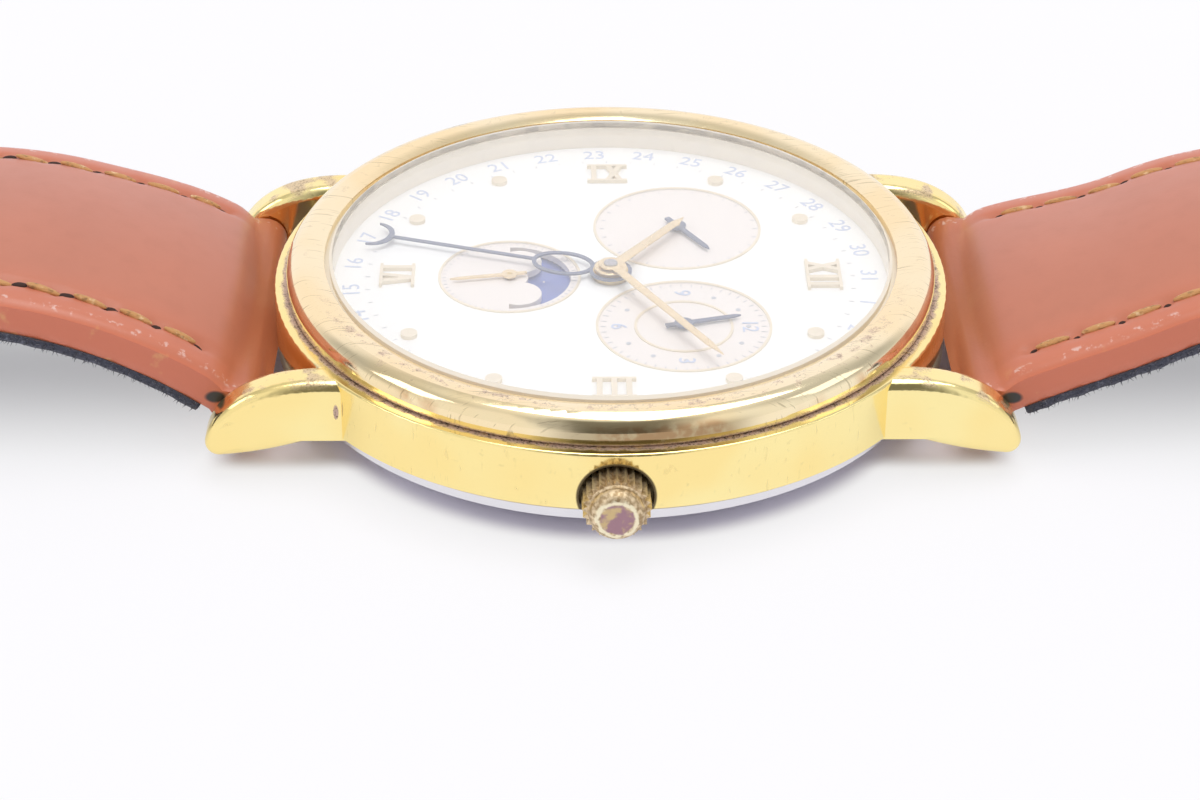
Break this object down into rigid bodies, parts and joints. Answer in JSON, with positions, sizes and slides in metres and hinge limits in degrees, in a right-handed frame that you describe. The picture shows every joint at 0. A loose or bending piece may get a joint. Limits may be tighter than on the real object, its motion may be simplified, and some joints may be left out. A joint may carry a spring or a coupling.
{
  "type": "moon phase wristwatch",
  "caption": "Round gold-plated dress watch with calendar subdials, moon disc window, date pointer and padded leather strap with pin buckle, lying dial up.",
  "frame": {"origin": "centre of the flat rest face of the case back", "axes": "+X from the dial's centre to the crown at 3 o'clock, +Y to 12 o'clock along the strap, +Z out of the dial"},
  "size_m": [0.0363, 0.2327, 0.0106],
  "materials": {
    "gold_plate": "polished gold plating, worn at the edges",
    "crown_brass": "worn plating over brass",
    "case_steel": "brushed",
    "crystal_glass": "clear flat mineral glass",
    "gasket": "matt",
    "dial_white": "silky white lacquer",
    "applied_gold": "polished",
    "blued_hand": "dark blue lacquer",
    "moon_blue": "printed night sky",
    "wheel_brass": "satin",
    "pinion_steel": "polished",
    "plate_nickel": "nickel-plated brass",
    "holder_plastic": "moulded",
    "jewel_red": "synthetic ruby",
    "coil_copper": "lacquered copper wire",
    "stator_iron": "soft iron",
    "rotor_magnet": "sintered magnet",
    "cell_steel": "nickel-plated steel",
    "board_green": "solder mask",
    "strap_leather": "smooth calf, light sheen",
    "strap_lining": "napped"
  },
  "bodies": {
    "case": {"case_middle": "gold_plate", "bezel": "gold_plate", "crystal": "crystal_glass", "crystal_gasket": "gasket", "case_back": "case_steel", "case_back_gasket": "gasket", "crown_tube": "case_steel", "dial": "dial_white", "subdial_rings": "applied_gold", "hour_markers": "applied_gold", "main_plate": "plate_nickel", "movement_holder": "holder_plastic", "train_bridge": "plate_nickel", "bridge_jewels": "jewel_red", "bridge_screws": "pinion_steel", "motor_stator": "stator_iron", "coil_core": "stator_iron", "coil_winding": "coil_copper", "battery": "cell_steel", "battery_clamp": "cell_steel", "circuit_board": "board_green", "quartz_can": "cell_steel", "spring_bar_tubes": "cell_steel"},
    "keyless_works": {"setting_yoke": "pinion_steel"},
    "crown_and_stem": {"crown": "crown_brass", "crown_gasket": "gasket", "stem": "pinion_steel", "sliding_pinion": "pinion_steel"},
    "seconds_train": {"fourth_wheel": "wheel_brass", "seconds_hand": "applied_gold"},
    "third": {"third_wheel": "wheel_brass"},
    "fifth": {"fifth_wheel": "wheel_brass"},
    "rotor": {"motor_rotor": "rotor_magnet"},
    "centre": {"centre_wheel": "wheel_brass"},
    "minute": {"cannon_pinion": "pinion_steel", "minute_hand": "applied_gold"},
    "minute_work": {"minute_wheel": "wheel_brass"},
    "hour": {"hour_wheel": "wheel_brass", "hour_hand": "applied_gold"},
    "date": {"date_wheel": "wheel_brass", "date_hand": "blued_hand"},
    "day": {"day_star_wheel": "wheel_brass", "day_hand": "blued_hand"},
    "month": {"month_star_wheel": "wheel_brass", "month_hand": "blued_hand"},
    "moon": {"moon_disc": "moon_blue"},
    "long_strap": {"long_strap_leather": "strap_leather", "long_strap_lining": "strap_lining"},
    "short_strap": {"short_strap_leather": "strap_leather", "short_strap_lining": "strap_lining", "fixed_keeper": "strap_leather"},
    "sliding_keeper": {"loose_keeper": "strap_leather"},
    "buckle": {"buckle_frame": "gold_plate", "buckle_bar_tube": "cell_steel", "buckle_bar_tips": "cell_steel"},
    "tongue": {"buckle_tongue": "gold_plate"},
    "upper_right_tip": {"upper_right_bar_tip": "cell_steel"},
    "upper_left_tip": {"upper_left_bar_tip": "cell_steel"},
    "lower_right_tip": {"lower_right_bar_tip": "cell_steel"},
    "lower_left_tip": {"lower_left_bar_tip": "cell_steel"}
  },
  "joints": [
    {"name": "seconds_turn", "type": "hinge", "parent": "case", "child": "seconds_train", "pos_m": [0, -0.0052, 0.0035], "axis": [0, 0, -1], "continuous": true},
    {"name": "third_turn", "type": "hinge", "parent": "case", "child": "third", "pos_m": [0.00178, -0.00271, 0.0035], "axis": [0, 0, -1], "continuous": true},
    {"name": "fifth_turn", "type": "hinge", "parent": "case", "child": "fifth", "pos_m": [0.00242, -0.0066, 0.0035], "axis": [0, 0, -1], "continuous": true},
    {"name": "rotor_turn", "type": "hinge", "parent": "case", "child": "rotor", "pos_m": [0.00494, -0.0066, 0.0035], "axis": [0, 0, -1], "continuous": true},
    {"name": "centre_turn", "type": "hinge", "parent": "case", "child": "centre", "pos_m": [0, 0, 0.0035], "axis": [0, 0, -1], "continuous": true},
    {"name": "minute_turn", "type": "hinge", "parent": "case", "child": "minute", "pos_m": [0, 0, 0.0035], "axis": [0, 0, -1], "continuous": true},
    {"name": "minute_work_turn", "type": "hinge", "parent": "case", "child": "minute_work", "pos_m": [0.00208, 0.0012, 0.0035], "axis": [0, 0, -1], "continuous": true},
    {"name": "hour_turn", "type": "hinge", "parent": "case", "child": "hour", "pos_m": [0, 0, 0.0035], "axis": [0, 0, -1], "continuous": true},
    {"name": "date_turn", "type": "hinge", "parent": "case", "child": "date", "pos_m": [0, 0, 0.0035], "axis": [0, 0, -1], "continuous": true},
    {"name": "day_turn", "type": "hinge", "parent": "case", "child": "day", "pos_m": [-0.0051, 0.0036, 0.0035], "axis": [0, 0, -1], "continuous": true},
    {"name": "month_turn", "type": "hinge", "parent": "case", "child": "month", "pos_m": [0.00495, 0.0036, 0.0035], "axis": [0, 0, -1], "continuous": true},
    {"name": "moon_turn", "type": "hinge", "parent": "case", "child": "moon", "pos_m": [0, -0.0052, 0.0035], "axis": [0, 0, -1], "continuous": true},
    {"name": "crown_pull", "type": "slide", "parent": "case", "child": "keyless_works", "axis": [1, 0, 0], "range_m": [0, 0.0012]},
    {"name": "crown_turn", "type": "hinge", "parent": "keyless_works", "child": "crown_and_stem", "pos_m": [0.0168, 0, 0.0031], "axis": [1, 0, 0], "continuous": true},
    {"name": "long_strap_swing", "type": "hinge", "parent": "case", "child": "long_strap", "pos_m": [0, -0.0186, 0.0026], "axis": [-1, 0, 0], "range_deg": [-75, 35]},
    {"name": "short_strap_swing", "type": "hinge", "parent": "case", "child": "short_strap", "pos_m": [0, 0.0186, 0.0026], "axis": [1, 0, 0], "range_deg": [-75, 35]},
    {"name": "keeper_slide", "type": "slide", "parent": "short_strap", "child": "sliding_keeper", "axis": [0, -1, 0], "range_m": [0, 0.012]},
    {"name": "buckle_swing", "type": "hinge", "parent": "short_strap", "child": "buckle", "pos_m": [0, 0.09103, 0.0025], "axis": [1, 0, 0], "range_deg": [-75, 45]},
    {"name": "tongue_lift", "type": "hinge", "parent": "buckle", "child": "tongue", "pos_m": [0, 0.09103, 0.0025], "axis": [1, 0, 0], "range_deg": [0, 85]},
    {"name": "upper_right_tip_press", "type": "slide", "parent": "case", "child": "upper_right_tip", "axis": [-1, 0, 0], "range_m": [0, 0.0009]},
    {"name": "upper_left_tip_press", "type": "slide", "parent": "case", "child": "upper_left_tip", "axis": [1, 0, 0], "range_m": [0, 0.0009]},
    {"name": "lower_right_tip_press", "type": "slide", "parent": "case", "child": "lower_right_tip", "axis": [-1, 0, 0], "range_m": [0, 0.0009]},
    {"name": "lower_left_tip_press", "type": "slide", "parent": "case", "child": "lower_left_tip", "axis": [1, 0, 0], "range_m": [0, 0.0009]}
  ],
  "couplings": [
    {"joint": "third_turn", "follows": "seconds_turn", "ratio": -0.13333},
    {"joint": "centre_turn", "follows": "seconds_turn", "ratio": 0.016667},
    {"joint": "fifth_turn", "follows": "seconds_turn", "ratio": -6},
    {"joint": "rotor_turn", "follows": "seconds_turn", "ratio": 30},
    {"joint": "minute_work_turn", "follows": "minute_turn", "ratio": -0.33333},
    {"joint": "hour_turn", "follows": "minute_turn", "ratio": 0.083333},
    {"joint": "date_turn", "follows": "minute_turn", "ratio": 0.0013441},
    {"joint": "day_turn", "follows": "minute_turn", "ratio": 0.0059524},
    {"joint": "month_turn", "follows": "minute_turn", "ratio": 0.00011408},
    {"joint": "moon_turn", "follows": "minute_turn", "ratio": 0.00070621}
  ]
}
